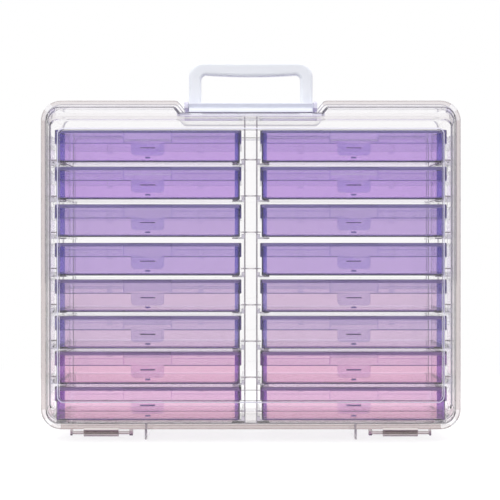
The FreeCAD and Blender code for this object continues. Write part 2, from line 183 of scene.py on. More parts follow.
# Rounded corners: steps, half the angle of a straight corner, least run, and most run as a share of a side
CORNER_STEPS, STRAIGHT, LEAST_RUN, MOST_RUN = 8, 1.55, 0.05, 0.45
WELD, BEVEL_FROM, BEVEL_STEPS = 0.002, 35.0, 2
CUT_PAST, BORE_ROOM, RIB_SOFT = 1.0, 0.1, 0.25
HINGE_Y, HINGE_Z, HINGE_X = -31.5, 6.6, 134.6
HINGE_ROD_R, HINGE_BORE_R, CLIP_WALL, CLIP_HALF = 1.6, 1.7, 1.8, 15.7
CLIP_TURNS, CLIP_STEPS, CLIP_ROOM, CLIP_HEADROOM = (82.0, 370.0), 24, 1.0, 0.5
HINGE_EAR_R, HINGE_EAR_DEPTH = 2.6, 7.0
# Each hinge ear's place from the clip's middle, and its thickness
OUTER_EAR, INNER_EAR = (26.8, 1.8), (-27.0, 3.2)
FOOT_X, FOOT_THICK, FOOT_R, FOOT_SET_BACK = 94.5, 2.2, 0.6, 4.0
DIVIDER_GAP, DIVIDER_THICK, DIVIDER_FRONT, DIVIDER_STEP = 9.5, 1.3, -40.0, 2.0
LEDGE_THICK, LEDGE_RIM_HIGH = 1.3, 3.0
LEDGE_NOSE, REST_GAP, SEAM = 5.0, 0.3, 0.02
# How far the ledges and their guide ribs reach, at the side walls and at the divider
LEDGE_SIDE, LEDGE_MIDDLE = (13.3, 3.0), (10.7, 2.2)
RUNG_COUNT, RUNG_PITCH, RUNG_FIRST, RUNG_THICK, RUNG_DEPTH = 7, 32.5, 40.4, 1.2, 8.0
RUNG_SIDE, RUNG_MIDDLE, RUNG_SET_BACK = 5.6, 3.1, 0.05
HANDLE_HALF, HANDLE_RISE, HANDLE_THICK = 56.0, 41.2, 10.0
HANDLE_Y, HANDLE_Z = -22.0, 299.6
HANDLE_LEG, HANDLE_GRIP, HANDLE_BULGE = 11.2, 11.6, 1.5
HANDLE_OUTER_R, HANDLE_INNER_R, HANDLE_SILL, HANDLE_ROUND = 13.0, 4.5, 4.8, 3.0
HANDLE_STRAIGHT, HANDLE_FILL_HALF, HANDLE_FILL_INSET = 20.0, 50.0, 1.2
HANDLE_BEND_STEPS, HANDLE_BULGE_STEPS = 12, (0.75, 0.5, 0.25)
HANDLE_PIN_R, LATCH_PIN_R, PIN_STEPS = 2.6, 1.7, 24
LATCH_Y, LATCH_Z, LATCH_HALF, LATCH_BARREL_R = -33.4, 300.2, 55.6, 2.6
LATCH_DROP, LATCH_PLATE, LATCH_LIP = 5.6, 2.2, 1.6
# Points of the latch's section: Y from its front, Z from its crown
LATCH_BROW, LATCH_WAIST = (-0.6, -0.7), (1.3, -3.2)
LATCH_GROOVE = ((-2.0, -0.6), (-0.5, -0.6), (1.8, -3.3), (1.6, -3.6), (-2.0, -3.9))
EAR_LOW, EAR_THICK, EAR_WALL = 56.4, 3.2, 2.0
CASE_HALF, CASE_FRONT, CASE_DEPTH, CASE_HEIGHT = 81.65, -51.5, 107.5, 27.4
CASE_WALL, CASE_R, CASE_R_STEPS = 1.3, 4.5, 6
TRAY_FOOT_R, TRAY_RIM_R, TRAY_FLOOR_R, CATCH_REACH, CATCH_ROOM = 1.0, 0.45, 1.4, 1.6, 0.4
CORNER_DEPTH, OUTER_CORNER = -36.0, 8.0
GATE_X, GATE_Z, GATE_PROUD = (-2.3, 2.3), (3.4, 5.0), 0.45
COVER_TOP, COVER_LOW, COVER_BAND = 29.0, 16.4, 22.8
COVER_GROW, COVER_INNER, COVER_PROUD = 1.4, 0.3, 0.6
COVER_TOP_R, COVER_TOP_THICK, COVER_FILLET = 0.7, 1.3, 1.2
COVER_PANEL, COVER_PANEL_PROUD, COVER_PANEL_SLOPE = 20.8, 0.5, 0.9
RIM_LINE = 3.2
TAB_HALF, TAB_LOW, TAB_BACK, TAB_THICK = 14.6, 6.0, -52.0, 2.4
SLOT_HALF, SLOT_LOW, SLOT_HIGH = 7.1, 11.8, 13.8
KNUCKLE_X, KNUCKLE_HALF, KNUCKLE_REACH, KNUCKLE_DROP = 43.5, 2.5, 1.4, 2.4


def node(tree, kind, **settings):
    made = tree.nodes.new(kind)
    for name, value in settings.items():
        setattr(made, name, value)
    return made


def wire(tree, source, output, target, entry):
    tree.links.new(source.outputs[output], target.inputs[entry])


def new_tree(name):
    material = bpy.data.materials.new(name)
    material.use_nodes = True
    material.node_tree.nodes.clear()
    return material, material.node_tree


def moulded_bump(tree, shader, waves_as):
    """Fine waves of moulded plastic, in the surface's tilt and in its roughness."""
    scale, strength, low, high = waves_as
    place = node(tree, "ShaderNodeTexCoord")
    waves = node(tree, "ShaderNodeTexNoise")
    waves.inputs["Scale"].default_value = scale
    waves.inputs["Detail"].default_value = WAVE_DETAIL
    wire(tree, place, "Object", waves, "Vector")
    bump = node(tree, "ShaderNodeBump")
    bump.inputs["Strength"].default_value = strength
    bump.inputs["Distance"].default_value = WAVE_HEIGHT * MM
    wire(tree, waves, "Fac", bump, "Height")
    wire(tree, bump, "Normal", shader, "Normal")
    span = node(tree, "ShaderNodeMapRange")
    span.inputs["To Min"].default_value = low
    span.inputs["To Max"].default_value = high
    wire(tree, waves, "Fac", span, "Value")
    wire(tree, span, "Result", shader, "Roughness")


def see_through(name, tints, loss, ior):
    """Clear plastic: tints from the open wall to painted shade at its edges, and darker along its thickness.
    """
    material, tree = new_tree(name)
    shader = node(tree, "ShaderNodeBsdfPrincipled")
    shader.inputs["IOR"].default_value = ior
    shader.inputs["Transmission Weight"].default_value = 1.0
    edge = node(tree, "ShaderNodeAttribute", attribute_name="edge")
    ramp = node(tree, "ShaderNodeValToRGB")
    stops = ramp.color_ramp.elements
    stops[1].color = tints[-1] + (1.0,)
    stops[0].color = tints[0] + (1.0,)
    for i, tint in enumerate(tints[1:-1]):
        stops.new((i + 1) / (len(tints) - 1)).color = tint + (1.0,)
    wire(tree, edge, "Fac", ramp, "Fac")
    wire(tree, ramp, "Color", shader, "Base Color")
    moulded_bump(tree, shader, CLEAR_WAVES)
    inside = node(tree, "ShaderNodeVolumeAbsorption")
    most = max(loss) * LOSS_ROOM
    inside.inputs["Color"].default_value = [1.0 - part / most for part in loss] + [1.0]
    inside.inputs["Density"].default_value = most
    out = node(tree, "ShaderNodeOutputMaterial")
    wire(tree, shader, "BSDF", out, "Surface")
    wire(tree, inside, "Volume", out, "Volume")
    return material


def satin_plastic(name, tint, ior, clearness, waves_as):
    """Plastic that shows the tint it is given: solid, or with a share of clearness."""
    material, tree = new_tree(name)
    shader = node(tree, "ShaderNodeBsdfPrincipled")
    shader.inputs["Base Color"].default_value = tint + (1.0,)
    shader.inputs["IOR"].default_value = ior
    shader.inputs["Transmission Weight"].default_value = clearness
    moulded_bump(tree, shader, waves_as)
    out = node(tree, "ShaderNodeOutputMaterial")
    wire(tree, shader, "BSDF", out, "Surface")
    return material


def painted_line_plastic(name, tint):
    """A thin edge painted as a line of light or shade in its tint: a painted highlight on the clear halves,
    a painted dark band on the covers' rim.
    """
    return satin_plastic(name, tint, LINE_IOR, LINE_CLEARNESS, LINE_WAVES)


def white_plastic(name, tint):
    """Cool white satin plastic of the handle, or of the latch with its white darkened as painted shade."""
    return satin_plastic(name, tint, WHITE_IOR, 0.0, WHITE_WAVES)


def rounded(corners, steps=CORNER_STEPS):
    """Points of a closed outline whose corners (a, b, r) are true arcs, always steps + 1 to a corner.

    An arc starts no further from its corner than the share MOST_RUN of the shorter side.
    """
    points = []
    for i, (a, b, r) in enumerate(corners):
        here = Vector((a, b))
        last = Vector(corners[i - 1][:2]) - here
        after = Vector(corners[(i + 1) % len(corners)][:2]) - here
        half = last.angle(after) / 2
        run = max(r / math.tan(half) if half < STRAIGHT else 0.0, LEAST_RUN)
        run = min(run, MOST_RUN * last.length, MOST_RUN * after.length)
        start, end = here + last.normalized() * run, here + after.normalized() * run
        pull = math.sin(half)
        for step in range(steps + 1):
            t = step / steps
            shares = ((1 - t) ** 2, 2 * pull * t * (1 - t), t ** 2)
            points.append((start * shares[0] + here * shares[1] + end * shares[2]) / sum(shares))
    return points


def upright(points, y):
    """An outline of the front view, set at the depth y."""
    return [(p.x, y, p.y) for p in points]


def mix(low, high, share):
    return low + (high - low) * min(max(share, 0.0), 1.0)


def case_ring(out, y, run=0.0, run_top=None):
    """The outline of the case with its channel, let out by `out` from the walls' outside.

    run draws it in along the lid's sloped shoulder: 0 is the straight wall, 1 is the lid's face.
    """
    run_top = run if run_top is None else run_top
    rim = max(out, 0.0) / RIM_REACH
    inner = max(-out, 0.0)
    half = HALF_WIDTH + out - SHOULDER_SIDE * run
    low = LOW - out + SHOULDER_TOP * run_top
    high = HIGH + out - SHOULDER_TOP * run_top
    floor = mix(CHANNEL_FLOOR - inner, NOTCH_FLOOR, rim)
    slope = math.hypot(CHANNEL_FLARE, HIGH - CHANNEL_FLOOR)
    shift = inner * (slope - CHANNEL_FLARE) / (HIGH - CHANNEL_FLOOR)
    notch = mix(CHANNEL_HALF + shift, NOTCH_HALF, rim)
    flare = mix(CHANNEL_FLARE, NOTCH_FLARE, rim)
    depth = max(high - floor, 0.0)
    flare = max(flare * depth / (HIGH + max(out, 0.0) - inner - floor), LEAST_FLARE)
    floor = min(floor, high)
    r_notch = mix(CHANNEL_R, NOTCH_R, rim)
    r = CORNER_R + out - (CORNER_R - FACE_R) * max(run, 0.0)
    corners = [
        (-half, low, r),
        (half, low, r),
        (half, high, r),
        (notch + flare, high, max(r_notch - inner, LEAST_NOTCH_R)),
        (notch, floor, r_notch + inner),
        (-notch, floor, r_notch + inner),
        (-notch - flare, high, max(r_notch - inner, LEAST_NOTCH_R)),
        (-half, high, r),
    ]
    return upright(rounded(corners), y)


def panel_ring(skin, y):
    """The raised panel's outline. It has the case outline's corners too, so that they can be joined."""
    half, tall = PANEL_HALF[0] - skin, PANEL_HALF[1] - skin
    low, high = MIDDLE_HEIGHT - tall, MIDDLE_HEIGHT + tall
    r = max(PANEL_R - skin, LEAST_PANEL_R)
    outer, inner = CHANNEL_HALF + CHANNEL_FLARE, CHANNEL_HALF
    corners = [
        (-half, low, r),
        (half, low, r),
        (half, high, r),
        (outer, high, 0),
        (inner, high, 0),
        (-inner, high, 0),
        (-outer, high, 0),
        (-half, high, r),
    ]
    return upright(rounded(corners), y)


def quarter(start, end, bulge_first, steps=3):
    """Points (out, y) of a quarter round between two points, leaving the first one along out or y."""
    (d0, y0), (d1, y1) = start, end
    points = []
    for step in range(steps + 1):
        turn = math.radians(90) * step / steps
        if bulge_first == "out":
            points.append((d0 + (d1 - d0) * math.sin(turn), y1 + (y0 - y1) * math.cos(turn)))
        else:
            points.append((d1 + (d0 - d1) * math.cos(turn), y0 + (y1 - y0) * math.sin(turn)))
    return points


def skinned(name, rings):
    """A closed mesh whose skin runs from the first outline to the last, with both ends filled."""
    mesh = bpy.data.meshes.new(name)
    made = bmesh.new()
    rows = [[made.verts.new(Vector(point) * MM) for point in ring] for ring in rings]
    made.faces.new(rows[0])
    made.faces.new(rows[-1])
    count = len(rows[0])
    for low, high in zip(rows, rows[1:]):
        for i in range(count):
            j = (i + 1) % count
            made.faces.new((low[i], low[j], high[j], high[i]))
    bmesh.ops.remove_doubles(made, verts=made.verts, dist=WELD * MM)
    bmesh.ops.recalc_face_normals(made, faces=made.faces)
    made.to_mesh(mesh)
    made.free()
    piece = bpy.data.objects.new(name, mesh)
    scene.collection.objects.link(piece)
    return piece


FRONT = (Vector((1, 0, 0)), Vector((0, 0, 1)), Vector((0, 1, 0)))
PLAN = (Vector((1, 0, 0)), Vector((0, 1, 0)), Vector((0, 0, 1)))
SIDE = (Vector((0, 1, 0)), Vector((0, 0, 1)), Vector((1, 0, 0)))


def plate(name, corners, view, low, high, soft=0.3, steps=4):
    """A plate with the outline in a view, between two places across it, with softened edges."""
    along, up, across = view
    sharp = all(r == 0 for _, _, r in corners)
    points = [Vector((a, b)) for a, b, _ in corners] if sharp else rounded(corners, steps)
    made = bmesh.new()
    ends = []
    for place in (low, high):
        ends.append([made.verts.new((along * p.x + up * p.y + across * place) * MM) for p in points])
    made.faces.new(ends[0])
    made.faces.new(ends[1])
    for i in range(len(points)):
        j = (i + 1) % len(points)
        made.faces.new((ends[0][i], ends[0][j], ends[1][j], ends[1][i]))
    bmesh.ops.recalc_face_normals(made, faces=made.faces)
    if soft:
        bmesh.ops.bevel(
            made,
            geom=[e for e in made.edges if e.calc_face_angle(0) > math.radians(BEVEL_FROM)],
            offset=soft * MM,
            segments=BEVEL_STEPS,
            profile=0.5,
            affect="EDGES",
            clamp_overlap=True,
        )
    mesh = bpy.data.meshes.new(name)
    made.to_mesh(mesh)
    made.free()
    piece = bpy.data.objects.new(name, mesh)
    scene.collection.objects.link(piece)
    return piece


def block(name, x, y, z, soft=0.3):
    """A block between pairs of places along X, Y and Z."""
    corners = [(x[0], z[0], 0), (x[1], z[0], 0), (x[1], z[1], 0), (x[0], z[1], 0)]
    return plate(name, corners, FRONT, y[0], y[1], soft)


def rod(name, r, x, y, z, steps=20):
    turns = [2 * math.pi * i / steps for i in range(steps)]
    corners = [(y + r * math.cos(t), z + r * math.sin(t), 0) for t in turns]
    return plate(name, corners, SIDE, x[0], x[1], soft=0.0)


def both_sides(make):
    """What make builds at +X, and its mirror image at -X."""
    right = make()
    left = right.copy()
    left.data = right.data.copy()
    left.data.transform(Matrix.Scale(-1, 4, Vector((1, 0, 0))))
    left.data.flip_normals()
    scene.collection.objects.link(left)
    return [right, left]


def combine(piece, others, operation="UNION"):
    """The others are joined to the piece or cut from it, and it stays one closed skin."""
    for other in others:
        step = piece.modifiers.new("combine", "BOOLEAN")
        step.operation = operation
        step.solver = "MANIFOLD"
        step.object = other
    ready = piece.evaluated_get(bpy.context.evaluated_depsgraph_get())
    mesh = bpy.data.meshes.new_from_object(ready)
    piece.modifiers.clear()
    piece.data = mesh
    for other in others:
        bpy.data.objects.remove(other, do_unlink=True)
    return piece


def row_bases():
    """How high each case stands: the lowest corner of its tray."""
    return {name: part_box(name)[0][2] / MM for name in nodes if name.startswith("tray_")}


def body_shell():
    """The rear half: back panel, walls, flange and bead in one skin."""
    y_front = Y_PARTING + PARTING_GAP / 2
    y_bead = y_front + BEAD_DEPTH
    y_rim = y_front + RIM_THICK
    y_back = Y_BACK - PANEL_RISE
    y_inner = y_back - WALL
    inner_edge = RIM_REACH - BEAD_THICK
    at_foot, at_bevel, at_face = BACK_PANEL_INSETS
    rings = [panel_ring(WALL + PANEL_INNER_R, Y_BACK - WALL)]
    rings.append(panel_ring(WALL, Y_BACK - WALL - PANEL_INNER_R))
    rings.append(panel_ring(WALL + at_foot, y_inner))
    path = quarter((-WALL - BACK_INNER_R, y_inner), (-WALL, y_inner - BACK_INNER_R), "out")
    path += quarter((-WALL, y_front + PARTING_R), (-WALL + PARTING_R, y_front), "y")
    path += quarter((RIM_REACH - BEAD_ROUND, y_front), (RIM_REACH, y_front + BEAD_ROUND), "out")
    path += quarter((RIM_REACH, y_bead - BEAD_ROUND), (RIM_REACH - BEAD_ROUND, y_bead), "y")
    path += quarter((inner_edge + BEAD_ROUND, y_bead), (inner_edge, y_bead - BEAD_ROUND), "out")
    path += quarter((inner_edge, y_rim + BEAD_FOOT_R), (inner_edge - BEAD_FOOT_R, y_rim), "y")
    path += quarter((RIM_FOOT_R, y_rim), (0.0, y_rim + RIM_FOOT_R), "out")
    path += quarter((0.0, y_back - BACK_EDGE_R), (-BACK_EDGE_R, y_back), "y")
    rings += [case_ring(out, y) for out, y in path]
    rings += [panel_ring(at_foot, y_back), panel_ring(at_bevel, y_back + PANEL_BEVEL)]
    rings.append(panel_ring(at_face, Y_BACK))
    return skinned("outer_body_shell", rings)


def ledge_set(bases):
    """Ledges with their guide ribs, two for each case."""
    y_start, y_end = Y_PARTING + PARTING_GAP / 2, Y_BACK - PANEL_RISE - WALL / 2
    x_side, x_middle = HALF_WIDTH - WALL, DIVIDER_GAP / 2 + DIVIDER_THICK
    pieces = []
    for base in sorted(set(round(z, 3) for z in bases)):
        top = base - REST_GAP
        bottom = top - LEDGE_THICK
        for wall_x, way, (reach, rib), near, root in (
            (x_side, -1, LEDGE_SIDE, y_start, WALL / 2),
            (x_middle, 1, LEDGE_MIDDLE, DIVIDER_FRONT, DIVIDER_THICK / 2),
        ):
            start, tip = wall_x - way * root, wall_x + way * reach
            corners = [
                (start, near, 0),
                (tip - way * LEDGE_NOSE, near, 0),
                (tip, near + LEDGE_NOSE, 0),
                (tip, y_end, 0),
                (start, y_end, 0),
            ]
            pieces += both_sides(lambda: plate("ledge", corners, PLAN, bottom, top, RIB_SOFT))
            rib_x = sorted((start, wall_x + way * rib))
            rib_z = (bottom + 0.1, top + LEDGE_RIM_HIGH)
            pieces += both_sides(lambda: block("ledge_rib", rib_x, (near, y_end), rib_z, RIB_SOFT))
    return pieces


def rung_ladder(name, x, y, count, pitch):
    """A row of equal rungs, one above another."""
    tree = bpy.data.node_groups.new(name, "GeometryNodeTree")
    sockets = {}
    for label, kind in (("Count", "Int"), ("Pitch", "Float"), ("Size", "Vector")):
        made = tree.interface.new_socket(label, in_out="INPUT", socket_type="NodeSocket" + kind)
        sockets[label] = made.identifier
    tree.interface.new_socket("Geometry", in_out="OUTPUT", socket_type="NodeSocketGeometry")
    given, result = node(tree, "NodeGroupInput"), node(tree, "NodeGroupOutput")
    rise = node(tree, "ShaderNodeCombineXYZ")
    wire(tree, given, "Pitch", rise, "Z")
    line = node(tree, "GeometryNodeMeshLine")
    wire(tree, given, "Count", line, "Count")
    wire(tree, rise, "Vector", line, "Offset")
    bar = node(tree, "GeometryNodeMeshCube")
    wire(tree, given, "Size", bar, "Size")
    spread = node(tree, "GeometryNodeInstanceOnPoints")
    wire(tree, line, "Mesh", spread, "Points")
    wire(tree, bar, "Mesh", spread, "Instance")
    whole = node(tree, "GeometryNodeRealizeInstances")
    wire(tree, spread, "Instances", whole, "Geometry")
    coat = node(tree, "GeometryNodeSetMaterial")
    coat.inputs["Material"].default_value = clear
    wire(tree, whole, "Geometry", coat, "Geometry")
    wire(tree, coat, "Geometry", result, "Geometry")
    piece = bpy.data.objects.new(name, bpy.data.meshes.new(name))
    scene.collection.objects.link(piece)
    ladder = piece.modifiers.new(name, "NODES")
    ladder.node_group = tree
    ladder[sockets["Count"]] = count
    ladder[sockets["Pitch"]] = pitch * MM
    ladder[sockets["Size"]] = ((x[1] - x[0]) * MM, (y[1] - y[0]) * MM, RUNG_THICK * MM)
    ready = piece.evaluated_get(bpy.context.evaluated_depsgraph_get())
    mesh = bpy.data.meshes.new_from_object(ready)
    piece.modifiers.clear()
    piece.data = mesh
    middle = Vector((sum(x) / 2, sum(y) / 2, LOW + RUNG_FIRST)) * MM
    mesh.transform(Matrix.Translation(middle))
    mesh.materials.clear()
    return piece


def make_rungs():
    tip = DIVIDER_GAP / 2 + DIVIDER_THICK + RUNG_MIDDLE
    near = Y_PARTING + PARTING_GAP / 2
    middle_y = (DIVIDER_FRONT + RUNG_SET_BACK, DIVIDER_FRONT + RUNG_DEPTH)
    pieces = [rung_ladder("divider_rungs", (-tip, tip), middle_y, RUNG_COUNT, RUNG_PITCH)]
    x = (HALF_WIDTH - WALL - RUNG_SIDE, HALF_WIDTH - WALL / 2)
    side_y = (near + RUNG_SET_BACK, near + RUNG_DEPTH)
    return pieces + both_sides(lambda: rung_ladder("side_rungs", x, side_y, RUNG_COUNT, RUNG_PITCH))


def divider_wall():
    y_end = Y_BACK - PANEL_RISE - WALL / 2
    x = (DIVIDER_GAP / 2, DIVIDER_GAP / 2 + DIVIDER_THICK)
    near = Y_PARTING + PARTING_GAP / 2
    low, high = LOW + WALL / 2, CHANNEL_FLOOR - WALL / 2
    corners = [
        (near, low, 0),
        (y_end, low, 0),
        (y_end, high, 0),
        (near, high, 0),
        (near, high - DIVIDER_STEP, 0),
        (DIVIDER_FRONT, high - DIVIDER_STEP, 0),
        (DIVIDER_FRONT, low + DIVIDER_STEP, 0),
        (near, low + DIVIDER_STEP, 0),
    ]
    return plate("divider_wall", corners, SIDE, x[0], x[1], RIB_SOFT)


def foot():
    inner, outer = FOOT_X - FOOT_THICK / 2, FOOT_X + FOOT_THICK / 2
    near, far = Y_PARTING + PARTING_GAP / 2 + RIM_THICK / 2, Y_BACK - PANEL_RISE - FOOT_SET_BACK
    top = LOW + WALL / 2
    corners = [(inner, 0, FOOT_R), (outer, 0, FOOT_R), (outer, top, 0), (inner, top, 0)]
    return plate("foot_rib", corners, FRONT, near, far, RIB_SOFT, 2)


def hinge_ear(centre, thick):
    body_y = Y_PARTING + PARTING_GAP / 2
    near, far = HINGE_Y - HINGE_EAR_R, body_y + HINGE_EAR_DEPTH
    low, high = HINGE_Z - HINGE_EAR_R, HINGE_Z + HINGE_EAR_R
    corners = [
        (near, low, 1.6),
        (HINGE_Y + HINGE_EAR_R, low, 1.6),
        (far, high, 0.5),
        (far, LOW + WALL / 2, 0),
        (body_y + SEAM, LOW + WALL / 2, 0),
        (body_y + SEAM, high, 0.3),
        (near, high, 1.6),
    ]
    return plate("hinge_ear", corners, SIDE, centre - thick / 2, centre + thick / 2, RIB_SOFT, 4)


def channel_ear():
    body_y = Y_PARTING + PARTING_GAP / 2
    before, behind = LATCH_Y - LATCH_PIN_R - EAR_WALL, HANDLE_Y + HANDLE_PIN_R + EAR_WALL
    crown = HANDLE_Z + HANDLE_PIN_R + EAR_WALL
    corners = [
        (behind, CHANNEL_FLOOR - WALL / 2, 0),
        (behind, HANDLE_Z, 0),
        (behind, crown, 4.0),
        (before, crown, 3.0),
        (before, LATCH_Z - LATCH_PIN_R, 0),
        (body_y + SEAM, NOTCH_FLOOR + 0.4, 0),
        (body_y + SEAM, CHANNEL_FLOOR - WALL / 2, 0),
    ]
    return plate("channel_ear", corners, SIDE, EAR_LOW, EAR_LOW + EAR_THICK, 0.3, 5)


def ear_bore(r, y, z):
    x = (EAR_LOW - CUT_PAST, EAR_LOW + EAR_THICK + CUT_PAST)
    return rod("ear_bore", r + BORE_ROOM, x, y, z, PIN_STEPS)


def make_body(bases):
    """The whole rear half, with all that is moulded inside and under it."""
    body = body_shell()
    half = CLIP_HALF + CLIP_ROOM
    top = HINGE_Z + HINGE_BORE_R + CLIP_WALL + CLIP_HEADROOM
    y = (Y_PARTING - CUT_PAST, Y_PARTING + PARTING_GAP / 2 + BEAD_DEPTH + CUT_PAST)
    x = (HINGE_X - half, HINGE_X + half)
    relief = both_sides(lambda: block("hinge_relief", x, y, (HINGE_Z, top), 0))
    combine(body, relief, "DIFFERENCE")
    inside = ledge_set(bases) + make_rungs() + both_sides(divider_wall)
    outer, inner = HINGE_X + OUTER_EAR[0], HINGE_X + INNER_EAR[0]
    under = both_sides(foot) + both_sides(channel_ear)
    under += both_sides(lambda: hinge_ear(outer, OUTER_EAR[1]))
    under += both_sides(lambda: hinge_ear(inner, INNER_EAR[1]))
    under += both_sides(lambda: rod("hinge_rod", HINGE_ROD_R, (inner, outer), HINGE_Y, HINGE_Z))
    combine(body, inside + under)
    bores = both_sides(lambda: ear_bore(HANDLE_PIN_R, HANDLE_Y, HANDLE_Z))
    bores += both_sides(lambda: ear_bore(LATCH_PIN_R, LATCH_Y, LATCH_Z))
    return combine(body, bores, "DIFFERENCE")


def lid_shell():
    """The front half: raised panel, face, sloped shoulder, walls and flange in one skin."""
    y_face, y_edge = Y_FRONT + PANEL_RISE, Y_PARTING - PARTING_GAP / 2
    y_slope = y_face + SHOULDER_DEPTH
    y_rim = y_edge - RIM_THICK
    reach = RIM_REACH - LID_RIM_SET_BACK
    at_foot, at_bevel, at_face = FRONT_PANEL_INSETS
    rings = [panel_ring(at_face, Y_FRONT), panel_ring(at_bevel, Y_FRONT + PANEL_BEVEL)]
    rings.append(panel_ring(at_foot, y_face))
    for run in FACE_RUNS:
        rings.append(case_ring(0.0, max(y_slope - SHOULDER_DEPTH * run, y_face), run))
    for run in SLOPE_RUNS:
        rings.append(case_ring(0.0, y_slope - SHOULDER_DEPTH * run, run))
    path = [(0.0, y_slope + SLOPE_END)]
    path += quarter((0.0, y_rim - RIM_FOOT_R), (RIM_FOOT_R, y_rim), "y")
    path += quarter((reach - BEAD_ROUND, y_rim), (reach, y_rim + BEAD_ROUND), "out")
    path += quarter((reach, y_edge - LID_EDGE_R), (reach - LID_EDGE_R, y_edge), "y")
    path += quarter((-WALL + PARTING_R, y_edge), (-WALL, y_edge - PARTING_R), "out")
    rings += [case_ring(out, y) for out, y in path]
    thick_side = WALL * math.hypot(SHOULDER_SIDE, SHOULDER_DEPTH) / SHOULDER_DEPTH - WALL
    thick_top = WALL * math.hypot(SHOULDER_TOP, SHOULDER_DEPTH) / SHOULDER_DEPTH - WALL
    for run in INNER_RUNS:
        side, top = run + thick_side / SHOULDER_SIDE, run + thick_top / SHOULDER_TOP
        y = y_slope - SHOULDER_DEPTH * run
        if run == 0.0:
            side, top, y = 0.0, 0.0, y + INNER_SLOPE_END
        rings.append(case_ring(-WALL, max(y, y_face + WALL), side, top))
    side, top = INNER_END + thick_side / SHOULDER_SIDE, INNER_END + thick_top / SHOULDER_TOP
    rings[-1] = case_ring(-WALL, y_face + WALL, side, top)
    rings.append(panel_ring(WALL - INNER_PANEL_INSET, y_face + WALL))
    rings.append(panel_ring(WALL, Y_FRONT + WALL + PANEL_INNER_R))
    rings.append(panel_ring(WALL + PANEL_INNER_R, Y_FRONT + WALL))
    return skinned("front_lid_shell", rings)


def hinge_clip():
    """A ring open towards the body, on an arm from the lid's flange."""
    ring_r = HINGE_BORE_R + CLIP_WALL
    x = (HINGE_X - CLIP_HALF, HINGE_X + CLIP_HALF)
    corners = []
    start, end = CLIP_TURNS
    turns = [math.radians(start + (end - start) * i / CLIP_STEPS) for i in range(CLIP_STEPS + 1)]
    for turn in turns:
        corners.append((HINGE_Y + ring_r * math.cos(turn), HINGE_Z + ring_r * math.sin(turn), 0))
    for turn in reversed(turns):
        corners.append((HINGE_Y + HINGE_BORE_R * math.cos(turn), HINGE_Z + HINGE_BORE_R * math.sin(turn), 0))
    return plate("hinge_clip", corners, SIDE, x[0], x[1], 0.0)


def hinge_arm():
    """The clip's arm, cut away round the rod."""
    x = (HINGE_X - CLIP_HALF, HINGE_X + CLIP_HALF)
    y_edge = Y_PARTING - PARTING_GAP / 2
    y_rim = y_edge - RIM_THICK
    return block("hinge_arm", x, (y_rim + SEAM, y_edge - SEAM), (HINGE_Z, LOW - RIM_REACH + WALL), 0)


def make_lid():
    lid = lid_shell()
    half = CLIP_HALF + CUT_PAST
    combine(lid, both_sides(hinge_arm) + both_sides(hinge_clip))
    x = (HINGE_X - half, HINGE_X + half)
    bore = both_sides(lambda: rod("clip_bore", HINGE_BORE_R, x, HINGE_Y, HINGE_Z))
    return combine(lid, bore, "DIFFERENCE")


def handle_loop():
    """Legs and grip as one rounded bar that follows the loop."""
    top = HANDLE_Z + HANDLE_RISE
    inner_x, grip = HANDLE_HALF - HANDLE_LEG, top - HANDLE_GRIP
    outside = [(HANDLE_HALF, HANDLE_Z), (HANDLE_HALF, HANDLE_Z + HANDLE_STRAIGHT)]
    inside = [(inner_x, HANDLE_Z), (inner_x, HANDLE_Z + HANDLE_STRAIGHT)]
    for i in range(HANDLE_BEND_STEPS + 1):
        turn = math.radians(90) * i / HANDLE_BEND_STEPS
        aside, above = 1 - math.cos(turn), 1 - math.sin(turn)
        outside.append((HANDLE_HALF - HANDLE_OUTER_R * aside, top - HANDLE_OUTER_R * above))
        inside.append((inner_x - HANDLE_INNER_R * aside, grip - HANDLE_INNER_R * above))
    for share in HANDLE_BULGE_STEPS:
        x_out = (HANDLE_HALF - HANDLE_OUTER_R) * share
        x_in = (inner_x - HANDLE_INNER_R) * share
        outside.append((x_out, top))
        inside.append((x_in, grip - HANDLE_BULGE * (1 - share ** 2)))
    outside.append((0.0, top))
    inside.append((0.0, grip - HANDLE_BULGE))
    path = list(zip(outside, inside))
    path += [((-o[0], o[1]), (-i[0], i[1])) for o, i in reversed(path[:-1])]
    half, r = HANDLE_THICK / 2, HANDLE_ROUND
    rings = []
    for out, inn in path:
        across = Vector(inn) - Vector(out)
        width = across.length
        section = rounded([(0, -half, r), (width, -half, r), (width, half, r), (0, half, r)], 5)
        ring = []
        for p in section:
            spot = Vector(out) + across.normalized() * p.x
            ring.append((spot.x, HANDLE_Y + p.y, spot.y))
        rings.append(ring)
    return skinned("carry_handle_loop", rings)


def make_handle():
    handle = handle_loop()
    sill = HANDLE_Z + HANDLE_SILL
    deep = HANDLE_THICK / 2 - HANDLE_FILL_INSET
    x, y = (-HANDLE_FILL_HALF, HANDLE_FILL_HALF), (HANDLE_Y - deep, HANDLE_Y + deep)
    bar = rod("base_bar", HANDLE_THICK / 2, (-HANDLE_HALF, HANDLE_HALF), HANDLE_Y, HANDLE_Z, 36)
    filling = block("base_filling", x, y, (HANDLE_Z, sill), 0.6)
    pin_end = EAR_LOW + EAR_THICK
    pin_x = (HANDLE_FILL_HALF, pin_end)
    pins = both_sides(lambda: rod("handle_pin", HANDLE_PIN_R, pin_x, HANDLE_Y, HANDLE_Z, PIN_STEPS))
    return combine(handle, [bar, filling] + pins)


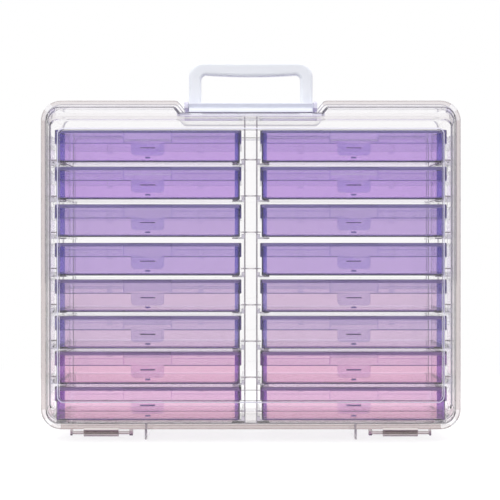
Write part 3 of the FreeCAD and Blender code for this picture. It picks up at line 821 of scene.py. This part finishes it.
def make_latch():
    front = LATCH_Y - LATCH_BARREL_R
    edge = LATCH_Z - LATCH_DROP
    lip_top = edge + LATCH_LIP
    crown = LATCH_Z + LATCH_BARREL_R
    corners = [
        (front + LATCH_PLATE, crown, 0.4),
        (front + LATCH_BROW[0], crown, 0.4),
        (front + LATCH_BROW[0], crown + LATCH_BROW[1], 0.3),
        (front + LATCH_WAIST[0], crown + LATCH_WAIST[1], 0.6),
        (front - LATCH_LIP, lip_top, 0.8),
        (front - LATCH_LIP, edge, 0.4),
        (front + LATCH_PLATE, edge, 0.4),
    ]
    latch = plate("top_latch_plate", corners, SIDE, -LATCH_HALF, LATCH_HALF, 0.4, 3)
    barrel = rod("latch_barrel", LATCH_BARREL_R, (-LATCH_HALF, LATCH_HALF), LATCH_Y, LATCH_Z, 32)
    pin_end = EAR_LOW + EAR_THICK
    pin = rod("latch_pin", LATCH_PIN_R, (-pin_end, pin_end), LATCH_Y, LATCH_Z, PIN_STEPS)
    combine(latch, [barrel, pin])
    groove_corners = [(front + y, crown + z, 0) for y, z in LATCH_GROOVE]
    half = LATCH_HALF + CUT_PAST
    groove = plate("latch_groove", groove_corners, SIDE, -half, half, 0)
    return combine(latch, [groove], "DIFFERENCE")


def case_ring_plan(inset, z, panel=0.0, front=0.0):
    """A photo case's outline in plan, drawn in by inset, with a proud middle on its front side."""
    half, near, far = CASE_HALF - inset, CASE_FRONT + inset - front, CASE_FRONT + CASE_DEPTH - inset
    r = max(CASE_R - inset, 0.4)
    corners = [(-half, near, r), (half, near, r), (half, far, r), (-half, far, r)]
    points = rounded(corners, CASE_R_STEPS)
    first = CASE_R_STEPS + 1
    second = 2 * first
    turn, slope = CASE_HALF - OUTER_CORNER, COVER_PANEL + COVER_PANEL_SLOPE
    proud = [(-turn, 0.0), (-slope, 0.0), (-COVER_PANEL, panel)]
    proud += [(-x, out) for x, out in reversed(proud)]
    middle = [Vector((x, near - out)) for x, out in proud]
    right, left = Vector((half, CORNER_DEPTH)), Vector((-half, CORNER_DEPTH))
    outline = points[:first] + middle + points[first:second] + [right] + points[second:] + [left]
    return [(p.x, p.y, z) for p in outline]


def make_tray():
    """A tray with its underside at Z = 0: rounded foot, walls, rounded rim and floor."""
    top, floor, rim = CASE_HEIGHT, CASE_WALL, TRAY_RIM_R
    path = quarter((TRAY_FOOT_R, 0.0), (0.0, TRAY_FOOT_R), "out")
    path.append((0.0, COVER_LOW))
    path += quarter((0.0, top - rim), (rim, top), "y")
    path += quarter((CASE_WALL - rim, top), (CASE_WALL, top - rim), "out")
    path += quarter((CASE_WALL, floor + TRAY_FLOOR_R), (CASE_WALL + TRAY_FLOOR_R, floor), "y", 4)
    tray = skinned("tray", [case_ring_plan(inset, z) for inset, z in path])
    low, high = SLOT_LOW + CATCH_ROOM, SLOT_HIGH - CATCH_ROOM
    half = SLOT_HALF - CATCH_ROOM
    corners = [
        (CASE_FRONT + CASE_WALL / 2, low, 0),
        (CASE_FRONT - CATCH_REACH, low, 0),
        (CASE_FRONT, high, 0),
        (CASE_FRONT + CASE_WALL / 2, high, 0),
    ]
    catch = plate("catch", corners, SIDE, -half, half, 0.0)
    nub = block("gate_mark", GATE_X, (CASE_FRONT - GATE_PROUD, CASE_FRONT + 0.6), GATE_Z, 0.2)
    return combine(tray, [catch, nub])


def make_cover():
    """A snap lid: top, stepped skirt with a proud front panel, tab with a slot, and two rear knuckles."""
    grow, inner, proud = COVER_GROW, COVER_INNER, COVER_PROUD
    low, band, top = COVER_LOW, COVER_BAND, COVER_TOP
    p = COVER_PANEL_PROUD + proud
    rings = [case_ring_plan(-grow + 1.8, top)]
    for inset, z in quarter((-grow + COVER_TOP_R, top), (-grow, top - COVER_TOP_R), "out"):
        rings.append(case_ring_plan(inset, z))
    rings.append(case_ring_plan(-grow, top - 1.1, p))
    rings.append(case_ring_plan(-grow, top - RIM_LINE, p))
    rings.append(case_ring_plan(-grow, band + 0.5, p))
    rings.append(case_ring_plan(-grow, band - 0.2, p - proud, proud))
    rings.append(case_ring_plan(-grow, low + 0.8, p - proud, proud))
    rings.append(case_ring_plan(-grow, low + 0.5, 0.0, proud))
    rings.append(case_ring_plan(-grow + 0.3, low, 0.0, proud))
    rings.append(case_ring_plan(-inner - 0.3, low))
    rings.append(case_ring_plan(-inner, low + 0.3))
    roof = top - COVER_TOP_THICK
    for inset, z in quarter((-inner, roof - COVER_FILLET), (-inner + COVER_FILLET, roof), "y", 3):
        rings.append(case_ring_plan(inset, z))
    cover = skinned("cover", rings)
    tab_corners = [
        (-TAB_HALF, TAB_LOW, 3.4),
        (TAB_HALF, TAB_LOW, 3.4),
        (TAB_HALF, COVER_LOW + 3.0, 0),
        (-TAB_HALF, COVER_LOW + 3.0, 0),
    ]
    tab = plate("cover_tab", tab_corners, FRONT, TAB_BACK - TAB_THICK, TAB_BACK, 0.5, 6)
    y_slot = (TAB_BACK - TAB_THICK - CUT_PAST, TAB_BACK + 0.05)
    slot = block("tab_slot", (-SLOT_HALF, SLOT_HALF), y_slot, (SLOT_LOW, SLOT_HIGH), 0)
    y_rear = CASE_FRONT + CASE_DEPTH + grow
    x = (KNUCKLE_X - KNUCKLE_HALF, KNUCKLE_X + KNUCKLE_HALF)
    y = (y_rear - grow + inner + 0.3, y_rear + KNUCKLE_REACH)
    z = (low - KNUCKLE_DROP, band)
    knuckles = both_sides(lambda: block("rear_knuckle", x, y, z, 0.4))
    combine(cover, [tab] + knuckles)
    return combine(cover, [slot], "DIFFERENCE")


def make_world():
    """White all round, but seen through the clear plastic it is darker to the object's sides."""
    world = bpy.data.worlds.new("studio")
    scene.world = world
    world.use_nodes = True
    tree = world.node_tree
    tree.nodes.clear()
    place = node(tree, "ShaderNodeTexCoord")
    parts = node(tree, "ShaderNodeSeparateXYZ")
    wire(tree, place, "Generated", parts, "Vector")
    square = node(tree, "ShaderNodeMath", operation="MULTIPLY")
    wire(tree, parts, "Y", square, 0)
    wire(tree, parts, "Y", square, 1)
    aside = node(tree, "ShaderNodeMath", operation="SUBTRACT")
    aside.inputs[0].default_value = 1.0
    wire(tree, square, "Value", aside, 1)
    span = node(tree, "ShaderNodeMapRange", interpolation_type="SMOOTHSTEP")
    span.inputs["From Min"].default_value = FIELD_START ** 2
    span.inputs["From Max"].default_value = FIELD_END ** 2
    wire(tree, aside, "Value", span, "Value")
    field = node(tree, "ShaderNodeMix", data_type="RGBA")
    field.inputs["A"].default_value = FIELD_WHITE + (1.0,)
    field.inputs["B"].default_value = FIELD_SIDE + (1.0,)
    wire(tree, span, "Result", field, "Factor")
    rays = node(tree, "ShaderNodeLightPath")
    behind = node(tree, "ShaderNodeMix", data_type="RGBA")
    behind.inputs["B"].default_value = FIELD_WHITE + (1.0,)
    plain = node(tree, "ShaderNodeMath", operation="SUBTRACT")
    plain.inputs[0].default_value = 1.0
    wire(tree, rays, "Is Transmission Ray", plain, 1)
    wire(tree, plain, "Value", behind, "Factor")
    wire(tree, field, "Result", behind, "A")
    seen = node(tree, "ShaderNodeBackground")
    wire(tree, behind, "Result", seen, "Color")
    light = node(tree, "ShaderNodeBackground")
    light.inputs["Color"].default_value = (1.0, 1.0, 1.0, 1.0)
    light.inputs["Strength"].default_value = WORLD_LIGHT
    either = node(tree, "ShaderNodeMath", operation="MAXIMUM")
    wire(tree, rays, "Is Camera Ray", either, 0)
    wire(tree, rays, "Is Glossy Ray", either, 1)
    any_seen = node(tree, "ShaderNodeMath", operation="MAXIMUM")
    wire(tree, either, "Value", any_seen, 0)
    wire(tree, rays, "Is Transmission Ray", any_seen, 1)
    whole = node(tree, "ShaderNodeMixShader")
    wire(tree, any_seen, "Value", whole, "Fac")
    wire(tree, light, "Background", whole, 1)
    wire(tree, seen, "Background", whole, 2)
    out = node(tree, "ShaderNodeOutputWorld")
    wire(tree, whole, "Shader", out, "Surface")


def make_floor():
    """A pale floor that keeps the shadow near the object and is plain white further off."""
    mesh = bpy.data.meshes.new("floor")
    h = FLOOR_HALF
    mesh.from_pydata([(-h, -h, 0), (h, -h, 0), (h, h, 0), (-h, h, 0)], [], [(0, 1, 2, 3)])
    floor = bpy.data.objects.new("floor", mesh)
    scene.collection.objects.link(floor)
    material, tree = new_tree("pale_floor")
    pale = node(tree, "ShaderNodeBsdfDiffuse")
    pale.inputs["Color"].default_value = (FLOOR_PALE, FLOOR_PALE, FLOOR_PALE, 1.0)
    rays = node(tree, "ShaderNodeLightPath")
    seen = node(tree, "ShaderNodeMath", operation="SUBTRACT")
    seen.inputs[0].default_value = 1.0
    wire(tree, rays, "Is Diffuse Ray", seen, 1)
    power = node(tree, "ShaderNodeMath", operation="MULTIPLY")
    power.inputs[1].default_value = FLOOR_LIFT
    wire(tree, seen, "Value", power, 0)
    lift = node(tree, "ShaderNodeEmission")
    wire(tree, power, "Value", lift, "Strength")
    near = node(tree, "ShaderNodeAddShader")
    wire(tree, pale, "BSDF", near, 0)
    wire(tree, lift, "Emission", near, 1)
    far = node(tree, "ShaderNodeEmission")
    wire(tree, seen, "Value", far, "Strength")
    place = node(tree, "ShaderNodeTexCoord")
    away = node(tree, "ShaderNodeVectorMath", operation="LENGTH")
    wire(tree, place, "Object", away, 0)
    fade = node(tree, "ShaderNodeMapRange", interpolation_type="SMOOTHSTEP")
    fade.inputs["From Min"].default_value = FLOOR_FADE[0]
    fade.inputs["From Max"].default_value = FLOOR_FADE[1]
    wire(tree, away, "Value", fade, "Value")
    whole = node(tree, "ShaderNodeMixShader")
    wire(tree, fade, "Result", whole, "Fac")
    wire(tree, near, "Shader", whole, 1)
    wire(tree, far, "Emission", whole, 2)
    out = node(tree, "ShaderNodeOutputMaterial")
    wire(tree, whole, "Shader", out, "Surface")
    mesh.materials.append(material)


def make_lamp(name, place, size, power):
    lamp = bpy.data.lights.new(name, "AREA")
    lamp.energy = power
    lamp.size = size
    body = bpy.data.objects.new(name, lamp)
    body.location = place
    body.rotation_euler = (Vector(LAMP_AIM) - Vector(place)).to_track_quat("-Z", "Y").to_euler()
    scene.collection.objects.link(body)


def make_camera():
    camera = bpy.data.cameras.new("camera")
    camera.lens = CAMERA_LENS
    camera.sensor_width = CAMERA_SENSOR
    camera.clip_start = CAMERA_NEAR
    body = bpy.data.objects.new("camera", camera)
    body.location = CAMERA_PLACE
    body.rotation_euler = (math.radians(90), 0, 0)
    scene.collection.objects.link(body)
    scene.camera = body


def tilted(normal):
    """Whether a face belongs to a rounded or bevelled edge."""
    return max(abs(part) for part in normal) < TILT_LIMIT


def case_edge_shade(place, normal, outer, covered):
    """The share of painted edge shade of a tray's or a cover's face, or EDGE_LINE for the cover's painted
    dark rim band.

    outer is the side, -1 or 1, that faces the carrying case's wall, where the painted shade at the corner is
    wider.
    covered is True for the tray, whose upper part stands inside the cover.
    """
    x, y, z = abs(place.x), place.y, place.z
    if not covered and y < CASE_FRONT and COVER_TOP - RIM_LINE < z < COVER_TOP - 0.05:
        return EDGE_LINE
    deep = OUTER_CORNER if place.x * outer > 0 else CASE_R
    under_cover = covered and z > COVER_LOW
    if y < CASE_FRONT - 0.02 and covered:
        return CASE_SHADE_SHARE["mark"]
    if x > CASE_HALF - deep and y < CASE_FRONT + CASE_R:
        return CASE_SHADE_SHARE["under_cover" if under_cover else "corner"]
    if x > CASE_HALF - CASE_WALL - TOUCH and y < CORNER_DEPTH:
        return CASE_SHADE_SHARE["under_cover" if under_cover else "side"]
    if x > CASE_HALF - CASE_R and y > CASE_FRONT + CASE_DEPTH - CASE_R:
        return CASE_SHADE_SHARE["rear"]
    if y < TAB_BACK + TOUCH and x < SLOT_HALF + TOUCH and abs(z - (SLOT_LOW + SLOT_HIGH) / 2) < 1.2:
        return CASE_SHADE_SHARE["mark"]
    if y < TAB_BACK + TOUCH and x < TAB_HALF + TOUCH and z < COVER_LOW:
        return CASE_SHADE_SHARE["tab_outline" if tilted(normal) or abs(normal.y) < 0.9 else "tab"]
    if y < CASE_FRONT + TOUCH and COVER_LOW - TOUCH < z < COVER_LOW + 0.85:
        return CASE_SHADE_SHARE["lip"]
    if not tilted(normal):
        return 0.0
    if z < 1.1 or z > COVER_TOP - 1.2:
        return CASE_SHADE_SHARE["rounding"]
    return CASE_SHADE_SHARE["step" if y < CASE_FRONT + TOUCH else "rear"]


def shell_shade_and_highlight(place, normal):
    """The share of painted edge shade of a face of either clear half, or EDGE_LINE for the painted highlight
    on the panel's edge and the ears.
    """
    x, y, z = abs(place.x), place.y, place.z
    out = max(x - HALF_WIDTH, z - HIGH, LOW - z)
    if abs(y - Y_FRONT - PANEL_BEVEL / 2) < 2 * TOUCH:
        return EDGE_LINE
    if x < EAR_LOW + EAR_THICK + TOUCH and z > NOTCH_FLOOR + 2 * TOUCH:
        return EDGE_LINE
    if z < LOW - RIM_REACH - 2 * TOUCH:
        return SHELL_SHADE_SHARE["foot" if abs(x - FOOT_X) < FOOT_THICK else "hinge"]
    if out > RIM_REACH - BEAD_THICK - TOUCH and y < Y_PARTING + BEAD_DEPTH + MARK_PAST:
        return SHELL_SHADE_SHARE["bead"]
    step = (z - LOW - RUNG_FIRST) / RUNG_PITCH
    on_rung = abs(step - round(step)) * RUNG_PITCH < RUNG_THICK / 2 + 0.02 and 0 <= round(step) < RUNG_COUNT
    middle = x < DIVIDER_GAP / 2 + DIVIDER_THICK + RUNG_MIDDLE and y < DIVIDER_FRONT + RUNG_DEPTH
    side = x > HALF_WIDTH - WALL - RUNG_SIDE and y < Y_PARTING + RUNG_DEPTH + MARK_PAST
    if on_rung and (middle or side):
        return SHELL_SHADE_SHARE["rung"]
    if x < DIVIDER_GAP / 2 + DIVIDER_THICK + TOUCH and Y_PARTING - 10.0 < y < DIVIDER_FRONT + 0.5:
        return SHELL_SHADE_SHARE["divider"]
    inner_rounding = tilted(normal) and out < 0.0 and z < CHANNEL_FLOOR - WALL
    return SHELL_SHADE_SHARE["rounding"] if inner_rounding else 0.0


def paint_edge_shade(piece, rule, *facts):
    """Each face's share of painted shade, or its painted line, which its plastic reads as the attribute
    "edge".
    """
    old = piece.data.attributes.get("edge")
    if old is not None:
        piece.data.attributes.remove(old)
    marks = piece.data.attributes.new("edge", "FLOAT", "FACE")
    shares = [rule(face.center / MM, face.normal, *facts) for face in piece.data.polygons]
    marks.data.foreach_set("value", shares)


def finished(piece, nodes_replaced, body, material, line=None):
    """Soft shading that leaves flat faces flat, the materials, and what the piece stands for."""
    mesh = piece.data
    mesh.polygons.foreach_set("use_smooth", [True] * len(mesh.polygons))
    mesh.set_sharp_from_angle(angle=math.radians(SHARP_ANGLE))
    even = piece.modifiers.new("even", "WEIGHTED_NORMAL")
    even.keep_sharp = True
    ready = piece.evaluated_get(bpy.context.evaluated_depsgraph_get())
    piece.data = bpy.data.meshes.new_from_object(ready)
    piece.modifiers.clear()
    piece.data.materials.clear()
    piece.data.materials.append(material)
    # Faces marked EDGE_LINE take the painted line material: a painted highlight on the clear halves, a
    # painted dark band on the covers
    if line:
        piece.data.materials.append(line)
        marks = piece.data.attributes["edge"].data
        for face in piece.data.polygons:
            face.material_index = int(marks[face.index].value == EDGE_LINE)
    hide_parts(*nodes_replaced)
    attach(piece, body)


def place_copy(template, name, offset):
    piece = bpy.data.objects.new(name, template.data.copy())
    piece.data.transform(Matrix.Translation(Vector(offset) * MM))
    scene.collection.objects.link(piece)
    return piece


make_camera()
make_world()
make_floor()
make_lamp("key", *KEY_LAMP)
make_lamp("top", *TOP_LAMP)

scene.view_settings.view_transform = "Standard"
scene.cycles.max_bounces = LIGHT_PATHS
scene.cycles.transmission_bounces = LIGHT_PATHS
scene.cycles.transparent_max_bounces = LIGHT_PATHS
scene.cycles.glossy_bounces = 6
scene.cycles.blur_glossy = 0.0

# The clear halves' plastic carries painted shade on the bead, hinge, feet, rungs and divider
clear = see_through("clear_case_plastic", (CLEAR_TINT, BEAD_PAINTED_SHADE, SHELL_PAINTED_SHADE), CLEAR_LOSS, CLEAR_IOR)
# A pale painted highlight on the panel's edge and the channel ears
panel_highlight = painted_line_plastic("painted_highlight_panel_edge", PAINTED_HIGHLIGHT_TINT)
bases = row_bases()
body = make_body(bases.values())
body.name = "moulded_body"
lid = make_lid()
lid.name = "moulded_lid"
handle = make_handle()
handle.name = "rounded_handle"
latch = make_latch()
latch.name = "rounded_latch"
paint_edge_shade(body, shell_shade_and_highlight)
paint_edge_shade(lid, shell_shade_and_highlight)
finished(body, ["outer_body"], "body", clear, panel_highlight)
finished(lid, ["front_lid"], "lid", clear, panel_highlight)
handle_white = white_plastic("white_handle", HANDLE_WHITE)
# The latch's white is darker than the handle's as painted shade
latch_shaded_white = white_plastic("white_latch_painted_shade", LATCH_SHADED_WHITE)
finished(handle, ["carry_handle"], "handle", handle_white)
finished(latch, ["top_latch"], "latch", latch_shaded_white)
trays, covers, rim_shades = {}, {}, {}
for t in TRAY_TINT:
    # Each case plastic carries painted shade at its edges, corners and marks
    edges = (TAB_TINT[t], EDGE_PAINTED_SHADE[t], DEEPEST_PAINTED_SHADE)
    trays[t] = see_through("tray_" + t, (TRAY_TINT[t],) + edges, EDGE_LOSS[t], CASE_IOR)
    covers[t] = see_through("cover_" + t, (COVER_TINT[t],) + edges, EDGE_LOSS[t], CASE_IOR)
    # The rim's line material is a painted dark band
    rim_shades[t] = painted_line_plastic("rim_painted_shade_" + t, RIM_PAINTED_SHADE[t])
tray_form = make_tray()
cover_form = make_cover()
for column, outer in (("left", -1), ("right", 1)):
    for form, covered in ((tray_form, True), (cover_form, False)):
        paint_edge_shade(form, case_edge_shade, outer, covered)
    for row, tint in enumerate(ROW_TINT):
        place = "%s_%d" % (column, row + 1)
        low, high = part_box("tray_" + place)
        offset = ((low[0] + high[0]) / 2 / MM, 0.0, low[2] / MM)
        tray = place_copy(tray_form, "moulded_tray_" + place, offset)
        finished(tray, ["tray_" + place], "case_" + place, trays[tint])
        cover = place_copy(cover_form, "moulded_cover_" + place, offset)
        finished(cover, ["cover_" + place], "case_" + place, covers[tint], rim_shades[tint])
bpy.data.objects.remove(tray_form, do_unlink=True)
bpy.data.objects.remove(cover_form, do_unlink=True)
